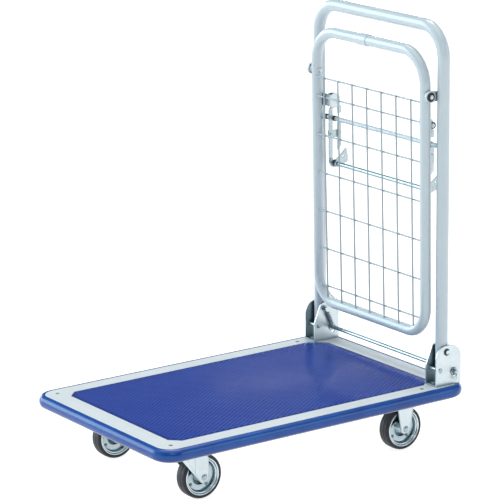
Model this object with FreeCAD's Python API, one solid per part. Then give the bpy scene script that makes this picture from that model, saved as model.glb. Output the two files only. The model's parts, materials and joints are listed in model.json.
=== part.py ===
import FreeCAD, Part
import math
import os

# Folding platform cart: pressed steel deck on four casters, a fold-down tube handle and a wire
# mesh shelf that swings out from the handle on two locking struts.
# Frame: origin on the floor under the deck centre, +X toward the handle end, +Y to the pusher's
# right, +Z up. Millimetres.

# ---- driving dimensions: deck ----
DECK_L = 716.0
DECK_W = 456.0
DECK_TOP = 138.0
DECK_CORNER = 32.0
SHEET = 2.0
SKIRT_BOTTOM = 111.0
BUMPER_OUT = 12.0
BUMPER_BOTTOM = 113.0
BUMPER_TOP = 137.0
MAT_L = 633.0
MAT_W = 385.0
MAT_CHAMFER = 20.0
MAT_REAR_CHAMFER = 29.0
MAT_THICK = 2.2
MAT_RECESS = 1.8
RIVET_FRONT = (-330.0, 203.0)
RIVET_REAR = (268.0, 210.0)
RIB_Y = 151.0
RIB_W = 84.0
RIB_BOTTOM = 113.0

# ---- driving dimensions: casters ----
WHEEL_R = 45.0
WHEEL_W = 27.0
TYRE_BORE = 35.5
RIM_R = 38.0
HUB_HALF = 16.0
AXLE_R = 4.0
CASTER_Y = 151.0
REAR_X = 260.0
PIVOT_X = -266.0
TRAIL = 34.0
PLATE_BOTTOM = 110.0
LEG_T = 2.5
LEG_GAP = 16.4

# ---- driving dimensions: handle ----
HANDLE_X = 323.5
HANDLE_HALF = 203.0
HANDLE_TOP = 859.0
HANDLE_BEND = 60.0
HANDLE_R = 12.7
HANDLE_WALL = 1.4
HANDLE_FOOT = 169.0
FOLD_Z = 207.0
FOLD_PIN_R = 4.0
STOP_X = 306.9
STOP_Z = 171.0
ROD_X = 342.0
ROD_Z = 164.0
ROD_R = 4.0
ROD_TRAVEL = 9.0
BRACKET_IN = 186.0
BRACKET_OUT = 220.0
BRACKET_T = 2.8
BRACKET_FRONT = 296.0
BRACKET_REAR = 360.0
BRACKET_TOP = 220.0
CROSSBAR_Z = 622.0
CROSSBAR_X = 324.7
CROSSBAR_R = 4.75
SLEEVE_R = 5.75
SLEEVE_LENGTH = 8.6

# ---- driving dimensions: shelf ----
SHELF_X = 298.0
SHELF_HALF = 177.5
SHELF_TOP = 809.0
SHELF_BOTTOM = 235.0
SHELF_R = 11.1
SHELF_WALL = 1.2
BEND_TOP = 65.0
BEND_BOTTOM = 55.0
SHELF_PIVOT_Z = 725.0
EAR_R = 12.0
SHELF_LEAN = 0.6
WIRE_R = 1.7
WIRE_V_X = 287.4
WIRE_H_X = 290.85
WIRE_LEAN = 0.6
WIRE_PITCH_Y = 47.6
WIRE_SHIFT_Y = -2.5
WIRE_TOP_Z = 712.0
WIRE_PITCH_Z = 80.5
STRUT_X = 326.7
STRUT_Z = 660.3
STRUT_Y = 152.0
STRUT_T = 2.5
STRUT_ROD = (325.7, 527.5)

X_AXIS = FreeCAD.Vector(1, 0, 0)
Y_AXIS = FreeCAD.Vector(0, 1, 0)
Z_AXIS = FreeCAD.Vector(0, 0, 1)
SIDES = (("left", -1.0), ("right", 1.0))


def vec(x, y, z):
    return FreeCAD.Vector(x, y, z)


def solid_of(shape):
    """Merge a fused shape into the smallest number of faces."""
    return shape.removeSplitter()


def cylinder(base, axis, radius, height):
    return Part.makeCylinder(radius, height, base, axis)


def span_y(x, z, y0, y1, radius):
    """Cylinder along Y between two y values."""
    low = min(y0, y1)
    return cylinder(vec(x, low, z), Y_AXIS, radius, abs(y1 - y0))


def ring_y(x, z, y0, y1, outer, inner):
    return span_y(x, z, y0, y1, outer).cut(span_y(x, z, y0, y1, inner))


def box(x0, x1, y0, y1, z0, z1):
    return Part.makeBox(x1 - x0, y1 - y0, z1 - z0, vec(x0, y0, z0))


def ring_face(centre, normal, outer, inner):
    """Flat annulus, or a disc when inner is zero."""
    big = Part.Wire(Part.makeCircle(outer, centre, normal))
    if inner <= 0:
        return Part.Face(big)
    small = Part.Wire(Part.makeCircle(inner, centre, normal))
    return Part.makeFace([big, small], "Part::FaceMakerBullseye")


def tube_run(p, q, outer, inner):
    direction = q - p
    return ring_face(p, direction, outer, inner).extrude(direction)


def tube_bend(centre, start, normal, axis, angle, outer, inner):
    return ring_face(start, normal, outer, inner).revolve(centre, axis, angle)


def rounded_outline(length, width, radius):
    """Closed wire of a rounded rectangle in the XY plane, centred on the origin."""
    a = length / 2.0
    b = width / 2.0
    k = radius * (1.0 - math.cos(math.pi / 4.0))
    edges = []
    corners = ((a, b, 1, 1), (-a, b, -1, 1), (-a, -b, -1, -1), (a, -b, 1, -1))
    starts = ((a, b - radius), (-a + radius, b), (-a, -b + radius), (a - radius, -b))
    ends = ((a - radius, b), (-a, b - radius), (-a + radius, -b), (a, -b + radius))
    for index in range(4):
        cx, cy, sx, sy = corners[index]
        mid = vec(cx - sx * k, cy - sy * k, 0)
        first = vec(starts[index][0], starts[index][1], 0)
        last = vec(ends[index][0], ends[index][1], 0)
        edges.append(Part.Arc(first, mid, last).toShape())
        following = starts[(index + 1) % 4]
        edges.append(Part.makeLine(last, vec(following[0], following[1], 0)))
    return Part.Wire(Part.__sortEdges__(edges))


def rounded_block(length, width, radius, z0, z1):
    face = Part.Face(rounded_outline(length, width, radius))
    face.translate(vec(0, 0, z0))
    return face.extrude(vec(0, 0, z1 - z0))


def mat_block(grow, z0, z1):
    """The mat's outline, larger by grow in all; its rear corners are cut clear of the brackets."""
    a = (MAT_L + grow) / 2.0
    b = (MAT_W + grow) / 2.0
    c = MAT_CHAMFER
    d = MAT_REAR_CHAMFER
    ring = [(a, b - d), (a - d, b), (-a + c, b), (-a, b - c)]
    ring += [(-a, -b + c), (-a + c, -b), (a - d, -b), (a, -b + d)]
    points = [vec(x, y, z0) for x, y in ring]
    points.append(points[0])
    return Part.Face(Part.makePolygon(points)).extrude(vec(0, 0, z1 - z0))


def plate_xz(points, y0, y1):
    """Plate standing in an XZ plane. Points are (x, z) or (x, z, corner radius)."""
    count = len(points)
    edges = []
    last = None
    first = None
    for index in range(count):
        here = vec(points[index][0], 0, points[index][1])
        radius = points[index][2] if len(points[index]) > 2 else 0.0
        before = vec(points[index - 1][0], 0, points[index - 1][1])
        after = vec(points[(index + 1) % count][0], 0, points[(index + 1) % count][1])
        if radius > 0:
            u = (before - here).normalize()
            w = (after - here).normalize()
            half = math.acos(max(-1.0, min(1.0, u.dot(w)))) / 2.0
            reach = radius / math.tan(half)
            start = here + u * reach
            end = here + w * reach
            bisector = (u + w).normalize()
            mid = here + bisector * (radius / math.sin(half) - radius)
            arc = Part.Arc(start, mid, end).toShape()
        else:
            start = here
            end = here
            arc = None
        if last is not None and (start - last).Length > 1e-6:
            edges.append(Part.makeLine(last, start))
        if first is None:
            first = start
        if arc is not None:
            edges.append(arc)
        last = end
    if (first - last).Length > 1e-6:
        edges.append(Part.makeLine(last, first))
    face = Part.Face(Part.Wire(Part.__sortEdges__(edges)))
    low = min(y0, y1)
    face.translate(vec(0, low, 0))
    return face.extrude(vec(0, abs(y1 - y0), 0))


def revolve_y(profile, x, z):
    """Solid of revolution about the Y line through (x, z). Profile points are (radius, y)."""
    points = [vec(x + r, y, z) for r, y in profile]
    points.append(points[0])
    face = Part.Face(Part.makePolygon(points))
    return face.revolve(vec(x, 0, z), Y_AXIS, 360)


def revolve_z(profile, x, y):
    """Solid of revolution about the Z line through (x, y). Profile points are (radius, z)."""
    points = [vec(x + r, y, z) for r, z in profile]
    points.append(points[0])
    face = Part.Face(Part.makePolygon(points))
    return face.revolve(vec(x, y, 0), Z_AXIS, 360)


def hex_prism(base, axis, across_flats, height):
    """Hexagonal prism standing on base along +Y, -Y, +Z or -Z."""
    radius = across_flats / math.sqrt(3.0)
    points = []
    for index in range(7):
        angle = math.radians(60.0 * index)
        if abs(axis.z) > 0.5:
            points.append(base + vec(radius * math.cos(angle), radius * math.sin(angle), 0))
        else:
            points.append(base + vec(radius * math.cos(angle), 0, radius * math.sin(angle)))
    return Part.Face(Part.makePolygon(points)).extrude(axis * height)


def domed_head(base, axis, radius, height):
    """Low domed rivet head: a spherical cap on base."""
    ball_r = (radius * radius + height * height) / (2.0 * height)
    ball = Part.makeSphere(ball_r, base + axis * (height - ball_r))
    return ball.common(cylinder(base, axis, radius, height + 1.0))


def group(shapes):
    return Part.makeCompound(shapes)


def save(name, shape):
    shape.exportStep("parts/" + name + ".step")


# ---- deck ----
def make_tray():
    outer = rounded_block(DECK_L, DECK_W, DECK_CORNER, SKIRT_BOTTOM, DECK_TOP)
    outer = outer.makeFillet(1.6, [e for e in outer.Edges if is_level(e, DECK_TOP)])
    inner = rounded_block(DECK_L - 2 * SHEET, DECK_W - 2 * SHEET, DECK_CORNER - SHEET,
                          SKIRT_BOTTOM - 1.0, DECK_TOP - SHEET)
    tray = outer.cut(inner)
    floor_low = DECK_TOP - MAT_RECESS - SHEET
    tray = tray.fuse(mat_block(6.0, floor_low, DECK_TOP - SHEET / 2))
    tray = tray.cut(mat_block(1.0, DECK_TOP - MAT_RECESS, DECK_TOP + 1.0))
    for x, y in rivet_places():
        tray = tray.cut(cylinder(vec(x, y, 120), Z_AXIS, 2.6, 30))
    for x, y in bracket_bolt_places():
        tray = tray.cut(cylinder(vec(x, y, 120), Z_AXIS, 3.2, 30))
    return solid_of(tray)


def is_level(edge, z):
    """True for an edge that lies at one height."""
    return all(abs(v.Point.z - z) < 1e-6 for v in edge.Vertexes)


def rivet_places():
    places = []
    for sign in (-1, 1):
        places.append((RIVET_FRONT[0], sign * RIVET_FRONT[1]))
        places.append((RIVET_REAR[0], sign * RIVET_REAR[1]))
    return places


def bracket_bolt_places():
    places = []
    for sign in (-1, 1):
        places.append((304.5, sign * HANDLE_HALF))
        places.append((347.0, sign * HANDLE_HALF))
    return places


def make_bumper():
    outer = rounded_block(DECK_L + 2 * BUMPER_OUT, DECK_W + 2 * BUMPER_OUT,
                          DECK_CORNER + BUMPER_OUT, BUMPER_BOTTOM, BUMPER_TOP)
    rims = [e for e in outer.Edges if is_level(e, BUMPER_TOP) or is_level(e, BUMPER_BOTTOM)]
    outer = outer.makeFillet(BUMPER_OUT - 0.4, rims)
    inner = rounded_block(DECK_L + 0.2, DECK_W + 0.2, DECK_CORNER + 0.1,
                          BUMPER_BOTTOM - 1.0, BUMPER_TOP + 1.0)
    return outer.cut(inner)


def make_rivets():
    rivets = []
    for x, y in rivet_places():
        shank = cylinder(vec(x, y, DECK_TOP - 5.0), Z_AXIS, 2.5, 5.0)
        head = domed_head(vec(x, y, DECK_TOP), Z_AXIS, 4.2, 1.3)
        tail = cylinder(vec(x, y, DECK_TOP - 5.0), Z_AXIS, 3.6, 5.0 - SHEET)
        rivets.append(solid_of(head.fuse(shank).fuse(tail)))
    return group(rivets)


def hat_channel(y, x0, x1):
    """Channel under the deck floor, open side up: a flat bottom and two side walls."""
    top = DECK_TOP - MAT_RECESS - SHEET
    half = RIB_W / 2.0
    shape = box(x0, x1, y - half, y + half, RIB_BOTTOM, RIB_BOTTOM + SHEET)
    for sign in (-1, 1):
        wall_y = y + sign * (half - SHEET / 2.0)
        shape = shape.fuse(box(x0, x1, wall_y - SHEET / 2.0, wall_y + SHEET / 2.0, RIB_BOTTOM, top))
    return shape


def caster_bolt_places():
    places = []
    for x in (PIVOT_X, REAR_X):
        for side in (-1, 1):
            for sx in (-1, 1):
                for sy in (-1, 1):
                    places.append((x + sx * 33.0, side * CASTER_Y + sy * 27.0))
    return places


def make_ribs():
    ribs = []
    for side in (-1, 1):
        rib = hat_channel(side * RIB_Y, -335.0, 335.0)
        flange_y = side * RIB_Y
        for sign in (-1, 1):
            edge = flange_y + sign * (RIB_W / 2.0)
            low = min(edge, edge - sign * 14.0)
            flange_top = DECK_TOP - MAT_RECESS - SHEET
            rib = rib.fuse(box(-335.0, 335.0, low, low + 14.0, flange_top - SHEET, flange_top))
        for x, y in caster_bolt_places():
            if y * side > 0:
                rib = rib.cut(cylinder(vec(x, y, RIB_BOTTOM - 1), Z_AXIS, 3.2, 5))
        ribs.append(solid_of(rib))
        ribs.append(nut_box(side))
    return group(ribs)


def nut_box(side):
    """Small open box welded under the deck, in line with each handle bracket."""
    y0 = min(side * 195.0, side * 216.0)
    shell = box(311.5, 335.0, y0, y0 + 21.0, 107.0, DECK_TOP - SHEET)
    return shell.cut(box(313.1, 333.4, y0 + 1.6, y0 + 19.4, 108.6, DECK_TOP))


def make_cross_channel():
    """Channel across the deck under the handle brackets, its web down."""
    half = 108.0
    web = box(302.0, 328.0, -half, half, 121.0, 122.6)
    front = box(302.0, 303.6, -half, half, 121.0, 134.2)
    rear = box(326.4, 328.0, -half, half, 121.0, 134.2)
    return solid_of(web.fuse(front).fuse(rear))


# ---- handle hinge brackets ----
def bracket_outline(outer_plate):
    front = BRACKET_FRONT
    rear = BRACKET_REAR
    top = BRACKET_TOP
    if outer_plate:
        return [(front, DECK_TOP), (front, top, 27.0), (rear, top, 27.0), (rear, DECK_TOP)]
    return [(front, DECK_TOP), (front, 178.0, 14.0), (313.5, top, 13.0), (rear, top, 22.0),
            (rear, DECK_TOP)]


def rod_slot(y0, y1):
    """Slot for the release rod, running away from the fold pin."""
    dx, dz = rod_direction()
    r = ROD_R + 0.6
    start = span_y(ROD_X, ROD_Z, y0, y1, r)
    end = span_y(ROD_X + dx * ROD_TRAVEL, ROD_Z + dz * ROD_TRAVEL, y0, y1, r)
    nx = -dz * r
    nz = dx * r
    ax = ROD_X + dx * ROD_TRAVEL
    az = ROD_Z + dz * ROD_TRAVEL
    corners = [(ROD_X + nx, ROD_Z + nz), (ax + nx, az + nz), (ax - nx, az - nz),
               (ROD_X - nx, ROD_Z - nz)]
    return start.fuse(end).fuse(plate_xz(corners, y0, y1))


def rod_direction():
    dx = ROD_X - HANDLE_X
    dz = ROD_Z - FOLD_Z
    length = math.hypot(dx, dz)
    return dx / length, dz / length


def make_bracket(side):
    inner = plate_xz(bracket_outline(False), side * BRACKET_IN, side * (BRACKET_IN + BRACKET_T))
    outer = plate_xz(bracket_outline(True), side * (BRACKET_OUT - BRACKET_T), side * BRACKET_OUT)
    y0 = min(side * BRACKET_IN, side * BRACKET_OUT)
    y1 = max(side * BRACKET_IN, side * BRACKET_OUT)
    base = box(BRACKET_FRONT, BRACKET_REAR, y0, y1, DECK_TOP, DECK_TOP + BRACKET_T)
    shape = inner.fuse(outer).fuse(base)
    shape = shape.cut(span_y(HANDLE_X, FOLD_Z, y0 - 1, y1 + 1, FOLD_PIN_R + 0.05))
    shape = shape.cut(span_y(STOP_X, STOP_Z, y0 - 1, y1 + 1, 3.5))
    shape = shape.cut(rod_slot(y0 - 1, y1 + 1))
    for x, y in bracket_bolt_places():
        if y * side > 0:
            shape = shape.cut(cylinder(vec(x, y, DECK_TOP - 1), Z_AXIS, 3.2, 8))
    return solid_of(shape)


def make_bracket_bolts():
    bolts = []
    for x, y in bracket_bolt_places():
        seat = DECK_TOP + BRACKET_T
        bolt = hex_prism(vec(x, y, seat), Z_AXIS, 10.0, 4.0)
        bolt = bolt.fuse(cylinder(vec(x, y, 124.0), Z_AXIS, 3.0, seat - 124.0))
        bolt = bolt.fuse(hex_prism(vec(x, y, 131.0), Z_AXIS, 10.0, 5.0))
        bolts.append(solid_of(bolt))
    return group(bolts)


def make_fold_pins():
    pins = []
    for side in (-1, 1):
        inner = side * (BRACKET_IN - 0.2)
        outer = side * (BRACKET_OUT + 3.4)
        pin = span_y(HANDLE_X, FOLD_Z, inner, outer, FOLD_PIN_R)
        groove = ring_y(HANDLE_X, FOLD_Z, side * (BRACKET_OUT + 0.2), side * (BRACKET_OUT + 1.4),
                        FOLD_PIN_R + 1, FOLD_PIN_R - 0.8)
        pin = pin.cut(groove)
        head = span_y(HANDLE_X, FOLD_Z, inner, side * (BRACKET_IN - 2.6), 6.0)
        neck = span_y(HANDLE_X, FOLD_Z, side * (BRACKET_IN - 2.6), side * (BRACKET_IN - 8.6), 3.4)
        tip = span_y(HANDLE_X, FOLD_Z, side * (BRACKET_IN - 8.6), side * (BRACKET_IN - 10.0), 5.0)
        pins.append(solid_of(pin.fuse(head).fuse(neck).fuse(tip)))
    return group(pins)


def make_e_rings():
    rings = []
    for side in (-1, 1):
        y0 = side * (BRACKET_OUT + 0.3)
        y1 = side * (BRACKET_OUT + 1.3)
        ring = ring_y(HANDLE_X, FOLD_Z, y0, y1, 7.2, FOLD_PIN_R - 0.7)
        low = min(y0, y1) - 1
        gap = box(HANDLE_X + 1.0, HANDLE_X + 10, low, low + 3, FOLD_Z - 2.6, FOLD_Z + 2.6)
        rings.append(solid_of(ring.cut(gap)))
    return group(rings)


def make_stop_pins():
    pins = []
    for side in (-1, 1):
        pin = span_y(STOP_X, STOP_Z, side * (BRACKET_IN - 0.1), side * (BRACKET_OUT + 0.1), 3.4)
        inner = domed_head(vec(STOP_X, side * BRACKET_IN, STOP_Z), vec(0, -side, 0), 5.2, 1.8)
        outer = domed_head(vec(STOP_X, side * BRACKET_OUT, STOP_Z), vec(0, side, 0), 5.2, 1.8)
        pins.append(solid_of(pin.fuse(inner).fuse(outer)))
    return group(pins)


def make_lock_rod():
    half = BRACKET_OUT + 9.0
    rod = span_y(ROD_X, ROD_Z, -half, half, ROD_R)
    tips = [e for e in rod.Edges if abs(abs(e.CenterOfMass.y) - half) < 1e-6]
    rod = rod.makeChamfer(0.8, tips)
    for side in (-1, 1):
        rod = rod.cut(cylinder(vec(ROD_X, side * (BRACKET_OUT + 5.2), ROD_Z - 6), Z_AXIS, 1.4, 12))
    return rod


def make_lock_washers():
    washers = []
    for side in (-1, 1):
        washers.append(ring_y(ROD_X, ROD_Z, side * (BRACKET_OUT + 0.5), side * (BRACKET_OUT + 2.0),
                              8.2, ROD_R + 0.05))
        washers.append(ring_y(ROD_X, ROD_Z, side * (BRACKET_IN - 0.5), side * (BRACKET_IN - 2.0),
                              8.2, ROD_R + 0.05))
    return group(washers)


def make_split_pins():
    """Split pins through the rod ends, each with its eye hanging below the rod."""
    pins = []
    for side in (-1, 1):
        y = side * (BRACKET_OUT + 5.2)
        stem = cylinder(vec(ROD_X, y, ROD_Z - 9.0), Z_AXIS, 1.25, 16.5)
        eye = Part.makeTorus(3.4, 1.0, vec(ROD_X, y, ROD_Z - 12.2), Y_AXIS)
        pins.append(solid_of(stem.fuse(eye)))
    return group(pins)


def make_lock_springs():
    """Close-wound extension springs from the fold pin tips to the rod."""
    springs = []
    dx, dz = rod_direction()
    reach = math.hypot(ROD_X - HANDLE_X, ROD_Z - FOLD_Z)
    tilt = math.degrees(math.atan2(dx, -dz))
    for side in (-1, 1):
        y = side * (BRACKET_IN - 5.6)
        turns = 17
        wire = 1.5
        body_r = 4.6
        first = 9.0
        profile = [(0.0, first)]
        for turn in range(turns):
            base = first + turn * wire
            profile.append((body_r - wire * 0.35, base))
            profile.append((body_r, base + wire * 0.3))
            profile.append((body_r, base + wire * 0.7))
        profile.append((body_r - wire * 0.35, first + turns * wire))
        profile.append((0.0, first + turns * wire))
        points = [vec(r, 0, -s) for r, s in profile]
        points.append(points[0])
        coil = Part.Face(Part.makePolygon(points)).revolve(vec(0, 0, 0), Z_AXIS, 360)
        top_eye = Part.makeTorus(4.4, 0.7, vec(0, 0, 0), Y_AXIS)
        top_shank = cylinder(vec(0, 0, -first - 0.2), Z_AXIS, 0.7, first - 4.0)
        low_eye = Part.makeTorus(5.0, 0.7, vec(0, 0, -reach), Y_AXIS)
        low_shank = cylinder(vec(0, 0, 4.8 - reach), Z_AXIS, 0.7,
                             reach - first - turns * wire - 4.6)
        spring = coil.fuse(top_eye).fuse(low_eye).fuse(top_shank).fuse(low_shank)
        spring = solid_of(spring)
        spring.rotate(vec(0, 0, 0), Y_AXIS, -tilt)
        spring.translate(vec(HANDLE_X, y, FOLD_Z))
        springs.append(spring)
    return group(springs)


# ---- handle ----
def arch_tube(x, half, foot, top, bend, outer, inner):
    """Inverted U of tube in the plane x, open at the foot."""
    shapes = []
    for side in (-1, 1):
        shapes.append(tube_run(vec(x, side * half, foot), vec(x, side * half, top - bend),
                               outer, inner))
        centre = vec(x, side * (half - bend), top - bend)
        shapes.append(tube_bend(centre, vec(x, side * half, top - bend), Z_AXIS,
                                vec(side, 0, 0), 90, outer, inner))
    shapes.append(tube_run(vec(x, -half + bend, top), vec(x, half - bend, top), outer, inner))
    shape = shapes[0]
    for other in shapes[1:]:
        shape = shape.fuse(other)
    return solid_of(shape)


def make_handle():
    tube = arch_tube(HANDLE_X, HANDLE_HALF, HANDLE_FOOT, HANDLE_TOP, HANDLE_BEND,
                     HANDLE_R, HANDLE_R - HANDLE_WALL)
    for side in (-1, 1):
        y0 = side * (HANDLE_HALF - 20)
        y1 = side * (HANDLE_HALF + 20)
        tube = tube.cut(span_y(HANDLE_X, FOLD_Z, y0, y1, FOLD_PIN_R + 1.5))
    return tube


def make_fold_bushes():
    bushes = []
    for side in (-1, 1):
        y0 = side * (HANDLE_HALF - HANDLE_R - 0.6)
        y1 = side * (HANDLE_HALF + HANDLE_R + 0.6)
        bushes.append(ring_y(HANDLE_X, FOLD_Z, y0, y1, FOLD_PIN_R + 1.45, FOLD_PIN_R + 0.06))
    return group(bushes)


def make_plugs():
    plugs = []
    for side in (-1, 1):
        y = side * HANDLE_HALF
        rim = cylinder(vec(HANDLE_X, y, HANDLE_FOOT - 2.0), Z_AXIS, HANDLE_R - 1.0, 2.0)
        stem = cylinder(vec(HANDLE_X, y, HANDLE_FOOT), Z_AXIS, HANDLE_R - HANDLE_WALL - 0.1, 12.0)
        plugs.append(solid_of(rim.fuse(stem)))
    return group(plugs)


def handle_solid_core():
    shape = None
    for side in (-1, 1):
        post = cylinder(vec(HANDLE_X, side * HANDLE_HALF, HANDLE_FOOT), Z_AXIS, HANDLE_R,
                        HANDLE_TOP - HANDLE_FOOT - HANDLE_BEND)
        shape = post if shape is None else shape.fuse(post)
    return shape


def make_crossbar(core):
    bar = span_y(CROSSBAR_X, CROSSBAR_Z, -HANDLE_HALF, HANDLE_HALF, CROSSBAR_R)
    return biggest(bar.cut(core))


def biggest(shape):
    return sorted(shape.Solids, key=lambda s: s.Volume)[-1]


def make_crossbar_sleeves():
    sleeves = []
    for start in (-166.8, -156.2, 147.6, 173.6):
        sleeves.append(ring_y(CROSSBAR_X, CROSSBAR_Z, start, start + SLEEVE_LENGTH, SLEEVE_R,
                              CROSSBAR_R + 0.05))
    return group(sleeves)


def make_lugs(core):
    """Ears on the uprights that carry the shelf pivots."""
    lugs = []
    z = SHELF_PIVOT_Z
    for side in (-1, 1):
        y0 = side * 190.6
        y1 = side * 193.4
        ear = span_y(SHELF_X, z, y0, y1, EAR_R)
        arm = plate_xz([(SHELF_X, z + EAR_R), (320.0, z + 9.0), (320.0, z - 9.0),
                        (SHELF_X, z - EAR_R)], y0, y1)
        rim = ring_y(SHELF_X, z, side * 190.6, side * 195.4, EAR_R, EAR_R - 2.4)
        lug = ear.fuse(arm).fuse(rim).cut(core)
        lug = lug.cut(span_y(SHELF_X, z, side * 185, side * 200, 7.0))
        lugs.append(biggest(solid_of(lug)))
    return group(lugs)


def make_pivot_bushes():
    bushes = []
    for side in (-1, 1):
        body = ring_y(SHELF_X, SHELF_PIVOT_Z, side * 190.5, side * 194.6, 6.95, 3.06)
        lip = ring_y(SHELF_X, SHELF_PIVOT_Z, side * 193.6, side * 195.8, EAR_R - 2.8, 3.06)
        bushes.append(solid_of(body.fuse(lip)))
    return group(bushes)


# ---- mesh shelf ----
def shelf_loop(outer, inner):
    x = SHELF_X
    h = SHELF_HALF
    shapes = []
    for side in (-1, 1):
        shapes.append(tube_run(vec(x, side * h, SHELF_BOTTOM + BEND_BOTTOM),
                               vec(x, side * h, SHELF_TOP - BEND_TOP), outer, inner))
        centre = vec(x, side * (h - BEND_TOP), SHELF_TOP - BEND_TOP)
        shapes.append(tube_bend(centre, vec(x, side * h, SHELF_TOP - BEND_TOP), Z_AXIS,
                                vec(side, 0, 0), 90, outer, inner))
        centre = vec(x, side * (h - BEND_BOTTOM), SHELF_BOTTOM + BEND_BOTTOM)
        shapes.append(tube_bend(centre, vec(x, side * h, SHELF_BOTTOM + BEND_BOTTOM), Z_AXIS,
                                vec(-side, 0, 0), 90, outer, inner))
    shapes.append(tube_run(vec(x, -h + BEND_TOP, SHELF_TOP), vec(x, h - BEND_TOP, SHELF_TOP),
                           outer, inner))
    shapes.append(tube_run(vec(x, -h + BEND_BOTTOM, SHELF_BOTTOM),
                           vec(x, h - BEND_BOTTOM, SHELF_BOTTOM), outer, inner))
    shape = shapes[0]
    for other in shapes[1:]:
        shape = shape.fuse(other)
    return solid_of(shape)


def leaned(shape):
    """The shelf hangs with its lower end a little nearer the handle."""
    shape.rotate(vec(SHELF_X, 0, SHELF_PIVOT_Z), Y_AXIS, -SHELF_LEAN)
    return shape


def make_shelf_frame():
    frame = shelf_loop(SHELF_R, SHELF_R - SHELF_WALL)
    for side in (-1, 1):
        frame = frame.cut(span_y(SHELF_X, SHELF_PIVOT_Z, side * 160, side * 195, 3.1))
    return frame


def make_swage():
    """Expanded end of the frame tube, slipped over the other end at mid top bar."""
    profile = [(SHELF_R + 0.02, 1.0), (SHELF_R + 1.2, 1.4), (SHELF_R + 1.3, 29.0),
               (SHELF_R + 0.9, 33.0), (SHELF_R + 0.25, 38.0), (SHELF_R + 0.02, 38.0)]
    return revolve_y(profile, SHELF_X, SHELF_TOP)


def make_vertical_wires(loop):
    wires = []
    top = WIRE_TOP_Z + 3.0
    for index in range(-3, 4):
        y = WIRE_SHIFT_Y + index * WIRE_PITCH_Y
        wire = cylinder(vec(WIRE_V_X, y, SHELF_BOTTOM), Z_AXIS, WIRE_R, top - SHELF_BOTTOM)
        wire.rotate(vec(WIRE_V_X, y, WIRE_TOP_Z), Y_AXIS, -WIRE_LEAN)
        wires.append(biggest(wire.cut(loop)))
    return group(wires)


def wire_heights():
    heights = [WIRE_TOP_Z]
    z = WIRE_TOP_Z - WIRE_PITCH_Z / 2.0
    while z > SHELF_BOTTOM + 20:
        heights.append(z)
        z -= WIRE_PITCH_Z
    return heights


def make_horizontal_wires(loop):
    wires = []
    for z in wire_heights():
        drop = WIRE_TOP_Z - z
        x = WIRE_H_X + drop * math.tan(math.radians(WIRE_LEAN))
        wire = span_y(x, z, -SHELF_HALF, SHELF_HALF, WIRE_R)
        wires.append(biggest(wire.cut(loop)))
    return group(wires)


def make_shelf_bolts():
    bolts = []
    z = SHELF_PIVOT_Z
    for side in (-1, 1):
        inner = side * (SHELF_HALF - SHELF_R - 0.1)
        bolt = span_y(SHELF_X, z, inner, side * 199.5, 3.0)
        head = domed_head(vec(SHELF_X, inner, z), vec(0, -side, 0), 5.6, 3.2)
        nut = hex_prism(vec(SHELF_X, side * 196.2, z), vec(0, side, 0), 8.0, 2.6)
        bolts.append(solid_of(bolt.fuse(head).fuse(nut)))
    return group(bolts)


def make_shelf_washers(loop):
    washers = []
    for side in (-1, 1):
        washer = ring_y(SHELF_X, SHELF_PIVOT_Z, side * 186.0, side * 190.2, 8.5, 3.05)
        washers.append(biggest(washer.cut(loop)))
    return group(washers)


def make_strut_brackets(loop):
    """U brackets behind the shelf frame; each holds the head of one strut."""
    brackets = []
    for side in (-1, 1):
        shape = None
        for y0, y1 in ((145.6, 148.2), (155.8, 158.4)):
            cheek = plate_xz([(310.4, 648.0, 2.0), (310.4, 676.0, 6.0), (334.5, 676.0, 12.0),
                              (334.5, 648.0, 7.0)], side * y0, side * y1)
            shape = cheek if shape is None else shape.fuse(cheek)
        low = min(side * 145.6, side * 180.0)
        web = box(308.6, 313.0, low, low + 34.4, 650.0, 674.0)
        shape = shape.fuse(web).cut(loop)
        shape = shape.cut(span_y(STRUT_X, STRUT_Z, side * 140, side * 165, 3.0))
        brackets.append(solid_of(shape))
    return group(brackets)


def make_strut_pins():
    pins = []
    for side in (-1, 1):
        pin = span_y(STRUT_X, STRUT_Z, side * 145.5, side * 168.2, 2.95)
        inner = domed_head(vec(STRUT_X, side * 145.6, STRUT_Z), vec(0, -side, 0), 4.8, 2.0)
        outer = domed_head(vec(STRUT_X, side * 167.8, STRUT_Z), vec(0, side, 0), 4.4, 1.8)
        pins.append(solid_of(pin.fuse(inner).fuse(outer)))
    return group(pins)


def make_strut_bushes():
    """Rubber buffers on the strut pins, outside the brackets."""
    bushes = []
    for side in (-1, 1):
        bushes.append(ring_y(STRUT_X, STRUT_Z, side * 158.5, side * 167.7, 7.0, 2.98))
    return group(bushes)


def strut_outline():
    """Two legs either side of the guide bar; the rear leg opens where the bar leaves and
    hooks under it when the shelf is level."""
    return [
        (319.7, 668.8, 6.5), (333.7, 668.8, 6.5), (334.2, 653.0, 3.0), (340.9, 646.0, 3.0),
        (340.9, 632.5, 1.0), (331.5, 632.5, 1.0), (331.5, 645.0, 2.0), (318.6, 645.0, 2.0),
        (318.6, 535.2, 3.0), (328.2, 535.2, 2.0), (349.7, 552.6), (350.7, 557.4, 1.0),
        (354.2, 556.0, 1.5), (357.7, 541.0, 3.0), (357.7, 527.0, 4.0), (334.7, 520.0, 5.0),
        (316.7, 519.5, 6.0), (309.3, 531.0, 5.0), (309.3, 643.0, 5.0), (319.2, 652.0, 3.0),
    ]


def rear_leg_outline():
    return [(331.5, 617.0, 1.0), (340.9, 617.0, 3.0), (340.9, 564.4), (331.5, 554.6)]


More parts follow.
